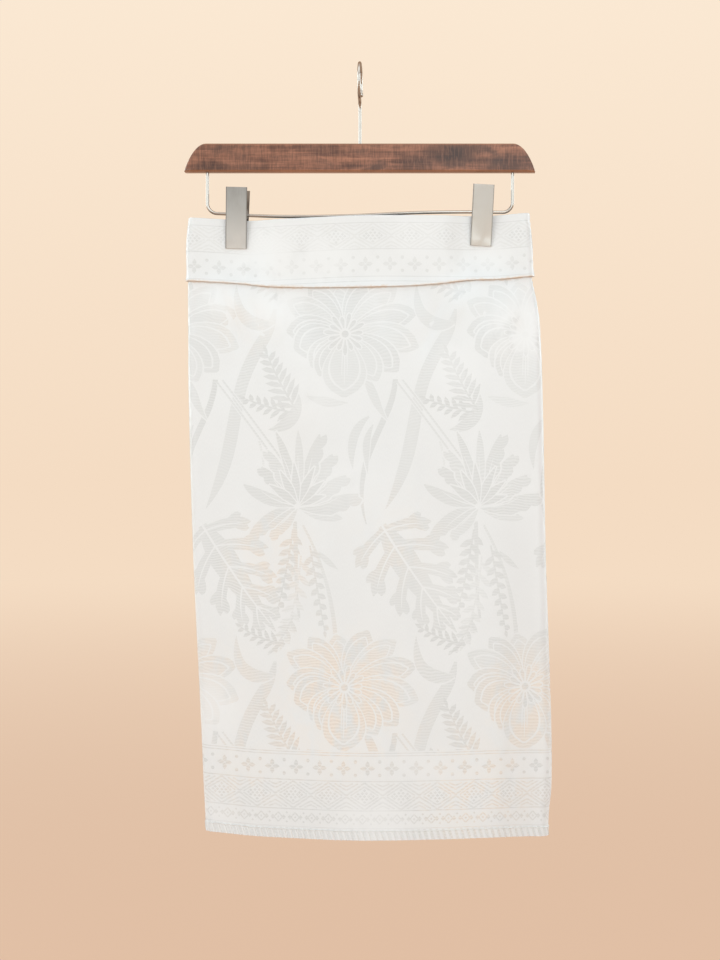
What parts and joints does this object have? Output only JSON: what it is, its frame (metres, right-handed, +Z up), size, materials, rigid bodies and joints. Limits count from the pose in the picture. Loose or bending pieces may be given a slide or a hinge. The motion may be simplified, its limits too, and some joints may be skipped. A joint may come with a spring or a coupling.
{
  "type": "sampin on a clip hanger",
  "caption": "Ready-sewn sampin, a flat tube skirt of patterned satin with a waistband, hung by steel clips from a wooden hanger.",
  "frame": {"origin": "top of the inside of the hook, where the hook bears on the rod that carries it", "axes": "+Z up, +X along the hanger to the viewer's right, +Y away behind the garment"},
  "size_m": [0.3668, 0.0534, 0.7736],
  "materials": {
    "body_satin": "white satin brocade with woven flowers, leaves and a border",
    "band_satin": "white satin brocade, woven border of crosses and diamonds",
    "bar_wood": "red-brown varnished wood",
    "wire_steel": "bright plated wire",
    "clip_steel": "brushed, along the plate",
    "spring_steel": "plain spring wire"
  },
  "bodies": {
    "root": {"hanger_bar": "bar_wood", "hanger_hook": "wire_steel", "hanger_wire": "wire_steel", "clip_left_front": "clip_steel", "clip_left_back": "clip_steel", "clip_left_spring": "spring_steel", "clip_right_front": "clip_steel", "clip_right_back": "clip_steel", "clip_right_spring": "spring_steel", "band_front": "band_satin", "band_back": "band_satin", "panel_front": "body_satin", "panel_back": "body_satin"}
  },
  "joints": []
}
